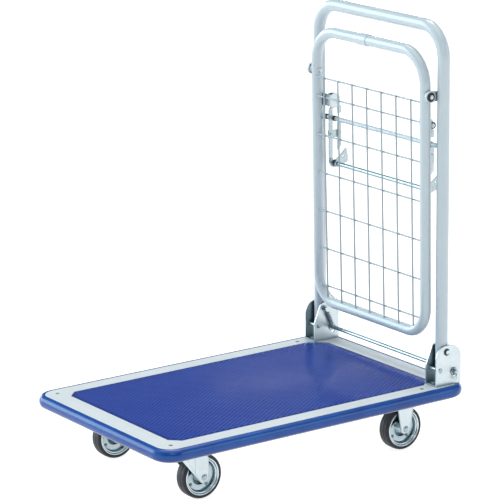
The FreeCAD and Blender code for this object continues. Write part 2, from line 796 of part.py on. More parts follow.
def make_strut(side):
    y0 = side * (STRUT_Y - STRUT_T / 2)
    y1 = side * (STRUT_Y + STRUT_T / 2)
    plate = plate_xz(strut_outline(), y0, y1)
    leg = plate_xz(rear_leg_outline(), y0, y1)
    keeper0 = side * (STRUT_Y + STRUT_T / 2)
    keeper1 = side * (STRUT_Y + STRUT_T / 2 + 1.8)
    bridge = plate_xz([(309.3, 598.0, 2.0), (340.9, 598.0, 2.0), (340.9, 582.0, 2.0),
                       (309.3, 582.0, 2.0)], keeper0, keeper1)
    shape = plate.fuse(leg).fuse(bridge)
    shape = shape.cut(span_y(STRUT_X, STRUT_Z, y0 - 3, y1 + 3, 3.03))
    shape = shape.cut(span_y(STRUT_ROD[0], STRUT_ROD[1], y0 - 3, y1 + 3, 4.0))
    shape = shape.cut(span_y(346.2, 540.0, y0 - 3, y1 + 3, 2.2))
    return solid_of(shape)


def make_strut_rod():
    half = STRUT_Y + STRUT_T / 2 + 2.6
    rod = span_y(STRUT_ROD[0], STRUT_ROD[1], -STRUT_Y + 3, STRUT_Y - 3, 4.4)
    thin = span_y(STRUT_ROD[0], STRUT_ROD[1], -half, half, 3.95)
    return solid_of(rod.fuse(thin))


def make_strut_collars():
    collars = []
    for side in (-1, 1):
        collars.append(ring_y(STRUT_ROD[0], STRUT_ROD[1], side * 148.8, side * 142.0, 6.8, 4.45))
        face = side * (STRUT_Y + STRUT_T / 2)
        washer = ring_y(STRUT_ROD[0], STRUT_ROD[1], face, face + side * 1.6, 6.4, 4.0)
        collars.append(washer)
    return group(collars)


def make_strut_rivets():
    rivets = []
    for side in (-1, 1):
        face = STRUT_Y - STRUT_T / 2
        for x, z in ((314.0, 537.0), (314.0, 590.0), (336.2, 590.0)):
            profile = [(0.0, 0.0), (3.0, 0.0), (3.0, 0.9), (2.0, 1.5), (0.0, 1.5)]
            ring = [(r, side * (face - s)) for r, s in profile]
            rivets.append(revolve_y(ring, x, z))
    return group(rivets)


# ---- casters ----
def make_tyre(x, y):
    r = WHEEL_R
    b = TYRE_BORE
    h = WHEEL_W / 2.0
    lip = [(b + 0.05, 8.8), (36.15, 10.5), (RIM_R, 11.6), (RIM_R + 0.55, 12.3),
           (RIM_R + 0.8, 13.0)]
    wall = [(40.5, 13.5), (42.6, 12.8), (44.1, 11.0), (44.8, 8.0), (r, 4.0)]
    half = lip + wall
    profile = half + [(q, -s) for q, s in reversed(half)]
    scale = h / 13.5
    return revolve_y([(q, y + s * scale) for q, s in profile], x, r)


def make_rim(x, y):
    """Two pressed discs back to back, rolled at the edge and drawn up to the hub."""
    outside = [(AXLE_R + 3.0, HUB_HALF), (9.5, HUB_HALF), (10.8, HUB_HALF - 2.0), (16.5, 5.2),
               (19.0, 3.6), (30.0, 3.6), (32.6, 4.6), (33.6, 6.4), (34.0, 9.4), (35.0, 11.4),
               (36.6, 12.6), (RIM_R, 12.9)]
    curl = [(RIM_R + 0.3, 12.3), (RIM_R - 0.2, 11.8), (36.0, 10.6), (TYRE_BORE, 8.8)]
    profile = outside + curl
    mirrored = [(q, -s) for q, s in reversed(profile)]
    full = profile + mirrored
    shape = revolve_y([(q, y + s) for q, s in full], x, WHEEL_R)
    for index in range(4):
        angle = math.radians(45.0 + 90.0 * index)
        px = x + 24.5 * math.cos(angle)
        pz = WHEEL_R + 24.5 * math.sin(angle)
        shape = shape.cut(span_y(px, pz, y - 5, y + 5, 1.9))
    return shape


def make_rim_rivets(x, y):
    rivets = []
    for index in range(4):
        angle = math.radians(45.0 + 90.0 * index)
        px = x + 24.5 * math.cos(angle)
        pz = WHEEL_R + 24.5 * math.sin(angle)
        rivet = span_y(px, pz, y - 3.6, y + 3.6, 1.85)
        rivet = rivet.fuse(domed_head(vec(px, y - 3.6, pz), vec(0, -1, 0), 3.1, 1.4))
        rivet = rivet.fuse(domed_head(vec(px, y + 3.6, pz), vec(0, 1, 0), 3.1, 1.4))
        rivets.append(solid_of(rivet))
    return rivets


def make_hub_bush(x, y):
    return ring_y(x, WHEEL_R, y - HUB_HALF, y + HUB_HALF, AXLE_R + 2.95, AXLE_R + 0.06)


def make_axle(x, y):
    """Axle bolt with a hexagon head on the outer side and a nut on the inner side."""
    face = LEG_GAP + LEG_T
    out = -1.0 if y < 0 else 1.0
    bolt = span_y(x, WHEEL_R, y - out * (face + 9.0), y + out * (face + 0.1), AXLE_R)
    cap = domed_head(vec(x, y + out * face, WHEEL_R), vec(0, out, 0), 6.4, 3.4)
    nut = hex_prism(vec(x, y - out * (face + 0.1), WHEEL_R), vec(0, -out, 0), 13.0, 6.5)
    return solid_of(bolt.fuse(cap).fuse(nut))


def fork_holes(shape, x, y):
    return shape.cut(span_y(x, WHEEL_R, y - 25, y + 25, AXLE_R + 0.05))


def make_fixed_fork(y):
    x = REAR_X
    top = PLATE_BOTTOM
    plate = box(x - 40, x + 40, y - 34, y + 34, top, top + 3.0)
    plate = plate.makeFillet(6.0, [e for e in plate.Edges if e.Length < 3.01])
    shape = plate
    outline = [(x - 30, top + 0.5), (x + 30, top + 0.5), (x + 22, 98.0, 8.0),
               (x + 19.0, 84.0, 10.0), (x + 10.5, 35.5, 9.0), (x - 10.5, 35.5, 9.0),
               (x - 19.0, 84.0, 10.0), (x - 22, 98.0, 8.0)]
    for sign in (-1, 1):
        shape = shape.fuse(plate_xz(outline, y + sign * LEG_GAP, y + sign * (LEG_GAP + LEG_T)))
    shape = fork_holes(shape, x, y)
    for px, py in caster_bolt_places():
        if px > 0 and py * y > 0:
            shape = shape.cut(cylinder(vec(px, py, top - 1), Z_AXIS, 3.2, 6))
    return solid_of(shape)


def make_swivel_plate(y):
    x = PIVOT_X
    top = PLATE_BOTTOM
    plate = box(x - 40, x + 40, y - 34, y + 34, top, top + 3.0)
    plate = plate.makeFillet(6.0, [e for e in plate.Edges if e.Length < 3.01])
    race = revolve_z([(6.0, top + 0.2), (6.0, 103.0), (16.0, 102.6), (24.0, 102.6),
                      (24.0, 98.2), (26.0, 98.2), (26.0, 106.0), (28.5, top + 0.2)], x, y)
    shape = plate.fuse(race).cut(cylinder(vec(x, y, top - 10), Z_AXIS, 5.0, 20))
    for px, py in caster_bolt_places():
        if px < 0 and py * y > 0:
            shape = shape.cut(cylinder(vec(px, py, top - 1), Z_AXIS, 3.2, 6))
    return solid_of(shape)


def make_swivel_fork(y):
    x = PIVOT_X
    ax = PIVOT_X + TRAIL
    crown = revolve_z([(5.6, 97.2), (21.0, 97.2), (27.0, 95.6), (27.0, 93.2), (20.0, 94.4),
                       (5.6, 94.4)], x, y)
    shape = crown
    outline = [(x - 22.0, 95.2, 2.0), (x + 30.0, 95.2, 2.0), (ax + 10.5, 84.0, 6.0),
               (ax + 10.5, 35.0, 9.0), (ax - 7.0, 34.0, 8.0)]
    for sign in (-1, 1):
        y0 = y + sign * LEG_GAP
        y1 = y + sign * (LEG_GAP + LEG_T)
        shape = shape.fuse(plate_xz(outline, y0, y1))
    roof = box(x - 20.0, x + 26.0, y - LEG_GAP - 0.1, y + LEG_GAP + 0.1, 94.4, 96.4)
    shape = shape.fuse(roof)
    shape = shape.cut(cylinder(vec(x, y, 80), Z_AXIS, 5.6, 30))
    wheel_room = span_y(ax, WHEEL_R, y - LEG_GAP, y + LEG_GAP, WHEEL_R + 2.0)
    shape = shape.cut(wheel_room)
    return solid_of(fork_holes(shape, ax, y))


def make_kingpins():
    pins = []
    for side in (-1, 1):
        y = side * CASTER_Y
        top = PLATE_BOTTOM
        pin = cylinder(vec(PIVOT_X, y, 90.2), Z_AXIS, 4.95, top + 3.0 - 90.2)
        head = revolve_z([(0.0, 93.6), (8.4, 93.6), (8.4, 91.4), (6.0, 90.2), (0.0, 90.2)],
                         PIVOT_X, y)
        pins.append(solid_of(pin.fuse(head)))
    return group(pins)


def make_bearing_balls(y):
    balls = []
    for index in range(18):
        angle = math.radians(20.0 * index)
        centre = vec(PIVOT_X + 20.0 * math.cos(angle), y + 20.0 * math.sin(angle), 99.9)
        balls.append(Part.makeSphere(2.4, centre))
    return balls


def make_caster_bolts():
    bolts = []
    for x, y in caster_bolt_places():
        top = PLATE_BOTTOM
        bolt = hex_prism(vec(x, y, top - 4.0), Z_AXIS, 10.0, 4.0)
        bolt = bolt.fuse(cylinder(vec(x, y, top - 0.1), Z_AXIS, 3.0, 14.0))
        bolt = bolt.fuse(hex_prism(vec(x, y, RIB_BOTTOM + SHEET), Z_AXIS, 10.0, 5.0))
        bolts.append(solid_of(bolt))
    return group(bolts)


def main():
    os.makedirs("parts", exist_ok=True)
    core = handle_solid_core()
    loop = shelf_loop(SHELF_R, 0.0)

    save("deck_tray", make_tray())
    save("deck_mat", mat_block(0.0, DECK_TOP - MAT_RECESS, DECK_TOP - MAT_RECESS + MAT_THICK))
    save("deck_bumper", make_bumper())
    save("deck_rivets", make_rivets())
    save("deck_ribs", make_ribs())
    save("deck_cross_channel", make_cross_channel())

    for name, side in SIDES:
        save("hinge_bracket_" + name, make_bracket(side))
    save("hinge_bracket_bolts", make_bracket_bolts())
    save("fold_pins", make_fold_pins())
    save("fold_pin_e_rings", make_e_rings())
    save("stop_pins", make_stop_pins())
    save("lock_rod", make_lock_rod())
    save("lock_rod_washers", make_lock_washers())
    save("lock_split_pins", make_split_pins())
    save("lock_springs", make_lock_springs())

    save("handle_tube", make_handle())
    save("handle_fold_bushes", make_fold_bushes())
    save("handle_end_plugs", make_plugs())
    save("handle_crossbar", make_crossbar(core))
    save("crossbar_sleeves", make_crossbar_sleeves())
    save("shelf_lugs", make_lugs(core))
    save("shelf_pivot_bushes", make_pivot_bushes())

    save("shelf_frame", leaned(make_shelf_frame()))
    save("shelf_frame_swage", leaned(make_swage()))
    save("mesh_vertical_wires", leaned(make_vertical_wires(loop)))
    save("mesh_horizontal_wires", leaned(make_horizontal_wires(loop)))
    save("shelf_pivot_bolts", make_shelf_bolts())
    save("shelf_pivot_washers", leaned(make_shelf_washers(loop)))
    save("strut_brackets", make_strut_brackets(leaned(loop)))
    save("strut_pins", make_strut_pins())
    save("strut_pin_buffers", make_strut_bushes())

    for name, side in SIDES:
        save("strut_" + name, make_strut(side))
    save("strut_cross_rod", make_strut_rod())
    save("strut_rod_collars", make_strut_collars())
    save("strut_rivets", make_strut_rivets())

    plates = []
    balls = []
    forks = []
    rear_axles = []
    for name, side in SIDES:
        y = side * CASTER_Y
        plates.append(make_swivel_plate(y))
        balls += make_bearing_balls(y)
        forks.append(make_fixed_fork(y))
        rear_axles.append(make_axle(REAR_X, y))
        save("swivel_fork_" + name, make_swivel_fork(y))
        save("swivel_axle_" + name, make_axle(PIVOT_X + TRAIL, y))
        for place, x in (("front", PIVOT_X + TRAIL), ("rear", REAR_X)):
            tag = place + "_" + name
            save("tyre_" + tag, make_tyre(x, y))
            save("rim_" + tag, make_rim(x, y))
            save("wheel_fittings_" + tag, group(make_rim_rivets(x, y) + [make_hub_bush(x, y)]))
    save("swivel_plates", group(plates))
    save("swivel_bearing_balls", group(balls))
    save("fixed_forks", group(forks))
    save("rear_axles", group(rear_axles))
    save("kingpins", make_kingpins())
    save("caster_bolts", make_caster_bolts())


main()
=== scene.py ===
import json
import math

import bmesh
import bpy
from mathutils import Matrix, Vector


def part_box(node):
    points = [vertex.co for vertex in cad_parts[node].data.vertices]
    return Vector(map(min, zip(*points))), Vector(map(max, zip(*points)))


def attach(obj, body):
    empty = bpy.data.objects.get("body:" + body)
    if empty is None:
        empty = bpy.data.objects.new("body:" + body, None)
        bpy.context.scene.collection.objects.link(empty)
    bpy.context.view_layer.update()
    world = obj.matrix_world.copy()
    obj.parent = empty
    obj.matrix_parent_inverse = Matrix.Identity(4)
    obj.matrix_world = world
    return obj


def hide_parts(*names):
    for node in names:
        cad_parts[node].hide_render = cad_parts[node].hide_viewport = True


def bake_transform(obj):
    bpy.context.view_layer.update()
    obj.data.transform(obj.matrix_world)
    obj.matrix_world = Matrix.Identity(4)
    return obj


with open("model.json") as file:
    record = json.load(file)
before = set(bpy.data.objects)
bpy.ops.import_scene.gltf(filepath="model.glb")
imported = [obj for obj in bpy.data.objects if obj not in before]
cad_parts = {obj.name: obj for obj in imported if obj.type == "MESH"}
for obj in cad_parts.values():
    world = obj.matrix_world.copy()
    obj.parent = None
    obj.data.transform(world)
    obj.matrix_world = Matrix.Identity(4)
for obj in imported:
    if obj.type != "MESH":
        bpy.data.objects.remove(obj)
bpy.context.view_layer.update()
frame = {"nodes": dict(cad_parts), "record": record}
NODES = frame["nodes"]

MM = 0.001
WHEELS = ("front_left", "front_right", "rear_left", "rear_right")

# Sizes that a node's box doesn't give, the same as in the CAD.
HANDLE_TUBE_R = 12.7 * MM
MESH_WIRE_R = 1.7 * MM
TRAY_CORNER_R = 32.0 * MM
BUMPER_OUT = 12.0 * MM
MAT_CHAMFER = 20.0 * MM
MAT_REAR_CHAMFER = 29.0 * MM

# The bumper's rolled upper lip, and the dip and half-width of its butt joint.
LIP = 1.2 * MM
JOINT_DIP = 0.6 * MM
JOINT_HALF = 0.6 * MM

# Raised lozenges of the mat: half-diagonals and height.
STUD_HALF_X = 7.1 * MM
STUD_HALF_Y = 4.75 * MM
STUD_TALL = 0.45 * MM


# ---- shader helpers ----
class Shader:
    """A material under construction: nodes by short calls, all mapped in object space (metres)."""

    def __init__(self, name):
        self.material = bpy.data.materials.new(name)
        self.material.use_nodes = True
        self.tree = self.material.node_tree
        self.surface = self.tree.nodes["Principled BSDF"]
        self.place = self.node("ShaderNodeTexCoord").outputs["Object"]

    def node(self, kind, **settings):
        made = self.tree.nodes.new(kind)
        for key, value in settings.items():
            setattr(made, key, value)
        return made

    def link(self, source, target):
        self.tree.links.new(source, target)

    def set(self, **values):
        for key, value in values.items():
            self.surface.inputs[key.replace("_", " ")].default_value = value

    def stretched(self, scale):
        """Object coordinates scaled by axis, so that a texture on them runs along one."""
        mapping = self.node("ShaderNodeMapping")
        mapping.inputs["Scale"].default_value = scale
        self.link(self.place, mapping.inputs["Vector"])
        return mapping.outputs["Vector"]

    def noise(self, size, detail, vector=None):
        """Noise whose features are about size metres across."""
        made = self.node("ShaderNodeTexNoise")
        made.inputs["Scale"].default_value = 1.0 / size
        made.inputs["Detail"].default_value = detail
        self.link(vector or self.place, made.inputs["Vector"])
        return made.outputs["Fac"]

    def ramp(self, value, stops):
        """Colours between stops of (position, colour)."""
        made = self.node("ShaderNodeValToRGB")
        elements = made.color_ramp.elements
        while len(elements) < len(stops):
            elements.new(0.5)
        for element, (position, colour) in zip(elements, stops):
            element.position = position
            element.color = (*colour, 1.0)
        self.link(value, made.inputs["Fac"])
        return made.outputs["Color"]

    def spread(self, value, low, high, start=0.3, end=0.7):
        """Map a 0..1 texture onto a working range."""
        made = self.node("ShaderNodeMapRange")
        made.inputs["From Min"].default_value = start
        made.inputs["From Max"].default_value = end
        made.inputs["To Min"].default_value = low
        made.inputs["To Max"].default_value = high
        self.link(value, made.inputs["Value"])
        return made.outputs["Result"]

    def mix(self, factor, a, b):
        """Colour a where factor is 0 and b where it is 1; each is a colour or a socket."""
        made = self.node("ShaderNodeMix", data_type="RGBA")
        for socket, value in zip((made.inputs[0], made.inputs[6], made.inputs[7]), (factor, a, b)):
            if isinstance(value, tuple):
                socket.default_value = (*value, 1.0)
            else:
                self.link(value, socket)
        return made.outputs[2]

    def height(self):
        """Height above the floor in metres, as the object stands at rest."""
        made = self.node("ShaderNodeSeparateXYZ")
        self.link(self.place, made.inputs[0])
        return made.outputs["Z"]

    def crevice(self, reach):
        """1 in the open, towards 0 in corners and gaps narrower than reach metres."""
        made = self.node("ShaderNodeAmbientOcclusion", samples=8)
        made.inputs["Distance"].default_value = reach
        return made.outputs["AO"]

    def painted_crevice_shade(self, colour, painted_shade_colour, reach, low=0.25, high=0.85):
        """Painted shade: darken a colour where parts meet and in gaps narrower than reach metres."""
        return self.mix(self.spread(self.crevice(reach), 0.0, 1.0, low, high), painted_shade_colour, colour)

    def bump(self, height, depth, strength):
        made = self.node("ShaderNodeBump")
        made.inputs["Strength"].default_value = strength
        made.inputs["Distance"].default_value = depth
        self.link(height, made.inputs["Height"])
        return made.outputs["Normal"]

    def colour(self, socket):
        self.link(socket, self.surface.inputs["Base Color"])

    def rough(self, socket):
        self.link(socket, self.surface.inputs["Roughness"])

    def normal(self, socket):
        self.link(socket, self.surface.inputs["Normal"])


def painted(name, colour, shade, rough, coat, gloss=0.5, peel=0.000008):
    """Baked-on paint: a slight cloudiness, orange peel and fine dust specks, with painted shade in
    corners and gaps.
    """
    s = Shader(name)
    s.set(Metallic=0.0, IOR=1.5, Specular_IOR_Level=gloss, Coat_Weight=coat, Coat_Roughness=0.08)
    cloud = s.noise(0.09, 4.0)
    tone = s.mix(s.spread(cloud, 0.0, 1.0), colour, shade)
    specks = s.ramp(s.noise(0.0012, 2.0), [(0.0, (0.0, 0.0, 0.0)), (0.72, (0.0, 0.0, 0.0)),
                                           (0.80, (0.10, 0.10, 0.10))])
    tone = s.mix(specks, tone, tuple(0.85 * c for c in shade))
    # Painted shade: the colour darkens towards this deep tone in corners and gaps.
    painted_shade_colour = tuple(0.16 * c for c in shade)
    s.colour(s.painted_crevice_shade(tone, painted_shade_colour, 0.007, 0.15, 0.75))
    s.rough(s.spread(s.noise(0.02, 3.0), rough - 0.03, rough + 0.04))
    s.normal(s.bump(s.noise(0.0011, 2.0), peel, 0.3))
    return s.material


def zinc(name, colour, tint, rough, reach=0.014, low=0.15, high=0.8):
    """Bright zinc plate: clouded blue-white metal with a faint yellow bloom and rolling grain, and
    painted shade in corners and gaps.
    """
    s = Shader(name)
    s.set(Metallic=1.0, Specular_Tint=(0.42, 0.60, 0.66, 1.0))
    base = s.mix(s.spread(s.noise(0.020, 4.0), 0.0, 1.0), colour, tint)
    warm = s.ramp(s.noise(0.035, 2.0), [(0.0, (0.0, 0.0, 0.0)), (0.55, (0.0, 0.0, 0.0)),
                                        (0.8, (0.35, 0.35, 0.35))])
    plate = s.mix(warm, base, (0.95 * colour[0], 0.93 * colour[1], 0.83 * colour[2]))
    # Painted shade: the plate darkens towards shadow in corners and gaps, and further in the narrowest
    # ones.
    shadow = (0.10 * colour[0], 0.19 * colour[1], 0.23 * colour[2])
    plate = s.painted_crevice_shade(plate, shadow, reach, low, high)
    s.colour(s.painted_crevice_shade(plate, tuple(0.3 * c for c in shadow), 0.0025, 0.2, 0.7))
    s.rough(s.spread(s.noise(0.006, 4.0), rough - 0.04, rough + 0.06))
    fine = s.noise(0.0009, 2.0, s.stretched((1.0, 1.0, 0.2)))
    s.normal(s.bump(fine, 0.000003, 0.2))
    return s.material


def plastic(name, colour, shade, rough, peel=0.00001):
    """Moulded plastic or rubber with a fine mould texture and rubbed patches."""
    s = Shader(name)
    s.set(Metallic=0.0, IOR=1.5)
    s.colour(s.mix(s.spread(s.noise(0.012, 4.0), 0.0, 1.0), colour, shade))
    s.rough(s.spread(s.noise(0.008, 3.0), rough - 0.06, rough + 0.08))
    s.normal(s.bump(s.noise(0.0006, 2.0), peel, 0.6))
    return s.material


def make_mat_vinyl():
    """Blue embossed vinyl: satin and clouded in tone, with painted shade in the grooves between
    lozenges.
    """
    s = Shader("mat_vinyl")
    s.set(Metallic=0.0, IOR=1.45, Specular_IOR_Level=0.11)
    cloud = s.noise(0.11, 4.0)
    tone = s.mix(s.spread(cloud, 0.0, 1.0), (0.019, 0.053, 0.30), (0.025, 0.063, 0.33))
    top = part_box("deck_mat")[1].z
    # Painted shade: the colour darkens towards deep blue low in the grooves between lozenges.
    raised = s.spread(s.height(), 0.0, 1.0, top - STUD_TALL, top - 0.25 * STUD_TALL)
    s.colour(s.mix(raised, (0.010, 0.030, 0.19), tone))
    s.rough(s.spread(s.noise(0.012, 3.0), 0.17, 0.22))
    s.normal(s.bump(s.noise(0.0009, 2.0), 0.000006, 0.2))
    return s.material


def make_bumper_vinyl():
    """Glossy blue extruded vinyl, faintly wavy, with painted shade darkening its lower part."""
    s = Shader("bumper_vinyl")
    s.set(Metallic=0.0, IOR=1.5, Specular_IOR_Level=0.3, Coat_Weight=0.2, Coat_Roughness=0.05)
    cloud = s.noise(0.07, 3.0)
    unshaded_tone = s.mix(s.spread(cloud, 0.0, 1.0), (0.001, 0.046, 0.24), (0.001, 0.072, 0.32))
    low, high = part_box("deck_bumper")
    # Painted shade: the colour darkens towards purple-blue over the lower part of the strip.
    painted_lower_shade = s.spread(s.height(), 1.0, 0.0, low.z, low.z + 0.45 * (high.z - low.z))
    s.colour(s.mix(painted_lower_shade, unshaded_tone, (0.008, 0.012, 0.13)))
    s.rough(s.spread(s.noise(0.01, 3.0), 0.15, 0.22))
    s.normal(s.bump(s.noise(0.03, 2.0), 0.00006, 0.15))
    return s.material


MATERIALS = {
    "deck_paint": painted("deck_paint", (0.58, 0.62, 0.63), (0.54, 0.58, 0.59), 0.5, 0.0, 0.25),
    "tube_paint": painted("tube_paint", (0.49, 0.565, 0.60), (0.47, 0.54, 0.58), 0.16, 0.6),
    "wire_paint": painted("wire_paint", (0.33, 0.395, 0.42), (0.30, 0.36, 0.385), 0.28, 0.3),
    "zinc": zinc("zinc", (0.62, 0.68, 0.70), (0.55, 0.62, 0.645), 0.32),
    "rim_zinc": zinc("rim_zinc", (0.72, 0.79, 0.82), (0.64, 0.72, 0.76), 0.17, 0.024, 0.25, 0.95),
    "bearing_steel": zinc("bearing_steel", (0.80, 0.84, 0.86), (0.72, 0.77, 0.80), 0.2, 0.0016),
    "black_steel": plastic("black_steel", (0.020, 0.022, 0.026), (0.035, 0.037, 0.040), 0.35),
    "black_plastic": plastic("black_plastic", (0.015, 0.016, 0.017), (0.03, 0.03, 0.032), 0.45),
    "nylon": plastic("nylon", (0.74, 0.75, 0.72), (0.66, 0.67, 0.63), 0.4),
    "black_rubber": plastic("black_rubber", (0.012, 0.012, 0.014), (0.028, 0.028, 0.03), 0.55),
    "tyre": plastic("tyre", (0.006, 0.007, 0.012), (0.011, 0.012, 0.018), 0.5),
    "mat_vinyl": make_mat_vinyl(),
    "bumper_vinyl": make_bumper_vinyl(),
}
FASTENER = zinc("fastener", (0.48, 0.55, 0.58), (0.38, 0.45, 0.48), 0.28, 0.010)
FASTENER_NODES = ("swivel_axle_left", "swivel_axle_right", "rear_axles", "stop_pins",
                  "hinge_bracket_bolts", "lock_rod_washers", "strut_rivets", "strut_rod_collars",
                  "caster_bolts", "strut_left", "strut_right", "lock_rod", "strut_cross_rod")
DULL_RIVET = zinc("dull_rivet", (0.16, 0.18, 0.19), (0.10, 0.12, 0.13), 0.4)
SLOT_OF = {part["node"]: part["material_slot"] for part in frame["record"]["subparts"]}
BODY_OF = {node: body for body, nodes in frame["record"]["behaviour"]["bodies"].items()
           for node in nodes}

# Sheet metal and fasteners whose cut edges are broken by a small bevel, with its width.
BROKEN_EDGES = {
    "hinge_bracket_left": 0.5, "hinge_bracket_right": 0.5, "hinge_bracket_bolts": 0.4,
    "fixed_forks": 0.5, "swivel_fork_left": 0.5, "swivel_fork_right": 0.5,
    "swivel_plates": 0.5, "caster_bolts": 0.4, "strut_left": 0.35, "strut_right": 0.35,
    "strut_brackets": 0.4, "shelf_lugs": 0.4, "deck_ribs": 0.4, "deck_cross_channel": 0.4,
    "shelf_pivot_bolts": 0.3, "handle_end_plugs": 0.5, "crossbar_sleeves": 0.4,
    "swivel_axle_left": 0.35, "swivel_axle_right": 0.35, "rear_axles": 0.35,
    "strut_rod_collars": 0.3, "lock_rod_washers": 0.25, "strut_pin_buffers": 0.5,
}


def finish_cad_nodes():
    """Give every CAD node a material, from its record slot or the fastener and dull rivet finishes,
    and break the sharp edges of those listed.
    """
    for name, node in NODES.items():
        node.data.materials.clear()
        material = MATERIALS[SLOT_OF[name]]
        if name in FASTENER_NODES:
            material = FASTENER
        if name == "deck_rivets":
            material = DULL_RIVET
        node.data.materials.append(material)
        if name in BROKEN_EDGES:
            weld = node.modifiers.new("weld", "WELD")
            weld.merge_threshold = 0.000001
            flat = node.modifiers.new("flat", "DECIMATE")
            flat.decimate_type = "DISSOLVE"
            flat.angle_limit = math.radians(0.5)
            edge = node.modifiers.new("edge", "BEVEL")
            edge.width = BROKEN_EDGES[name] * MM
            edge.segments = 2
            edge.limit_method = "ANGLE"
            edge.angle_limit = math.radians(40.0)
            edge.harden_normals = True


# ---- mesh helpers ----
def finish_piece(name, bm, slot, body, stands_for=(), sharp=40.0):
    """Turn a bmesh into a smooth-shaded piece that rides on a body."""
    bmesh.ops.recalc_face_normals(bm, faces=bm.faces)
    mesh = bpy.data.meshes.new(name)
    bm.to_mesh(mesh)
    bm.free()
    mesh.shade_smooth()
    mesh.set_sharp_from_angle(angle=math.radians(sharp))
    mesh.materials.append(MATERIALS[slot])
    piece = bpy.data.objects.new(name, mesh)
    bpy.context.scene.collection.objects.link(piece)
    if body:
        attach(piece, body)
    if stands_for:
        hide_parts(*stands_for)
    return piece


def loft(bm, rings, closed=True, capped=False):
    """Quads between successive rings of points; closed joins the last ring to the first."""
    made = [[bm.verts.new(point) for point in ring] for ring in rings]
    count = len(made[0])
    pairs = list(zip(made, made[1:]))
    if closed:
        pairs.append((made[-1], made[0]))
    for first, second in pairs:
        for index in range(count):
            after = (index + 1) % count
            bm.faces.new((first[index], first[after], second[after], second[index]))
    if capped:
        bm.faces.new(made[0])
        bm.faces.new(list(reversed(made[-1])))


def lathe(bm, profile, centre, steps):
    """Revolve a closed profile of (radius, distance along Y) in mm about centre."""
    rings = []
    for step in range(steps):
        turn = 2.0 * math.pi * step / steps
        c, s = math.cos(turn), math.sin(turn)
        rings.append([centre + MM * Vector((radius * c, along, radius * s))
                      for radius, along in profile])
    loft(bm, rings)


def tube_along(bm, points, radius, sides=10, ripple=None):
    """Round tube along points (metres); ripple(i) scales the radius at each point."""
    rings = []
    across = None
    for index, point in enumerate(points):
        before = points[max(index - 1, 0)]
        after = points[min(index + 1, len(points) - 1)]
        along = (after - before).normalized()
        if across is None:
            across = along.orthogonal().normalized()
        across = (across - along * across.dot(along)).normalized()
        other = along.cross(across)
        size = radius * (ripple(index) if ripple else 1.0)
        ring = []
        for side in range(sides):
            turn = 2.0 * math.pi * side / sides
            ring.append(point + size * (across * math.cos(turn) + other * math.sin(turn)))
        rings.append(ring)
    loft(bm, rings, closed=False, capped=True)


def blob(bm, centre, size):
    """Small smooth nugget, size its half-lengths along X, Y and Z in metres."""
    place = Matrix.Translation(centre) @ Matrix.Diagonal((*size, 1.0))
    bmesh.ops.create_icosphere(bm, subdivisions=2, radius=1.0, matrix=place)


def islands(node):
    """The (lowest, highest) corners of each separate solid of a CAD node, sorted."""
    bm = bmesh.new()
    bm.from_mesh(NODES[node].data)
    bmesh.ops.remove_doubles(bm, verts=bm.verts, dist=0.000001)
    unseen = set(bm.verts)
    boxes = []
    while unseen:
        stack = [unseen.pop()]
        found = list(stack)
        while stack:
            vert = stack.pop()
            for edge in vert.link_edges:
                other = edge.other_vert(vert)
                if other in unseen:
                    unseen.remove(other)
                    stack.append(other)
                    found.append(other)
        low = Vector(min(v.co[k] for v in found) for k in range(3))
        high = Vector(max(v.co[k] for v in found) for k in range(3))
        boxes.append((low, high))
    bm.free()
    return sorted(boxes, key=lambda b: tuple(round(c, 5) for c in (b[0] + b[1]) / 2))


def middle(box):
    return (box[0] + box[1]) / 2


def side_of(box):
    """1 for a box on the side where Y is above 0, and -1 for one on the other side."""
    return 1.0 if box[0].y > 0 else -1.0


# ---- deck ----
def outline_points(length, width, radius, steps=20):
    """Points and outward normals round a rounded rectangle, metres."""
    points = []
    for corner, (sx, sy) in enumerate(((1, 1), (-1, 1), (-1, -1), (1, -1))):
        centre = Vector((sx * (length / 2 - radius), sy * (width / 2 - radius), 0.0))
        for step in range(steps + 1):
            turn = math.radians(90.0 * corner + 90.0 * step / steps)
            normal = Vector((math.cos(turn), math.sin(turn), 0.0))
            points.append((centre + radius * normal, normal))
    return points


def bumper_profile(half_tall, dip):
    """Half-round cross-section as (outwards, upwards) metres; dip sinks its surface."""
    gap = 0.3 * MM
    steps = 32
    profile = []
    for step in range(steps + 1):
        turn = math.radians(90.0 - 180.0 * step / steps)
        out = (BUMPER_OUT - gap - dip) * abs(math.cos(turn)) ** 0.86
        tall = half_tall + (LIP if step < steps / 2 else 0.0)
        up = (tall - dip) * math.copysign(abs(math.sin(turn)) ** 0.92, math.sin(turn))
        profile.append((gap + out, up))
    return profile


def make_bumper():
    """Half-round vinyl strip round the tray, with a rolled lip and a butt joint at the rear."""
    low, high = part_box("deck_bumper")
    length, width = high.x - low.x - 2 * BUMPER_OUT, high.y - low.y - 2 * BUMPER_OUT
    half_tall = (high.z - low.z) / 2
    centre_z = (high.z + low.z) / 2
    path = [(point, outward, 0.0) for point, outward in outline_points(length, width, TRAY_CORNER_R)]
    for y, dip in ((-JOINT_HALF, 0.0), (-0.25 * MM, JOINT_DIP), (0.25 * MM, JOINT_DIP),
                   (JOINT_HALF, 0.0)):
        path.append((Vector((length / 2, y, 0.0)), Vector((1.0, 0.0, 0.0)), dip))
    rings = []
    for point, outward, dip in path:
        rings.append([point + outward * out + Vector((0.0, 0.0, centre_z + up))
                      for out, up in bumper_profile(half_tall, dip)])
    bm = bmesh.new()
    loft(bm, rings)
    finish_piece("bumper_strip", bm, "bumper_vinyl", BODY_OF["deck_bumper"], ("deck_bumper",), 50.0)


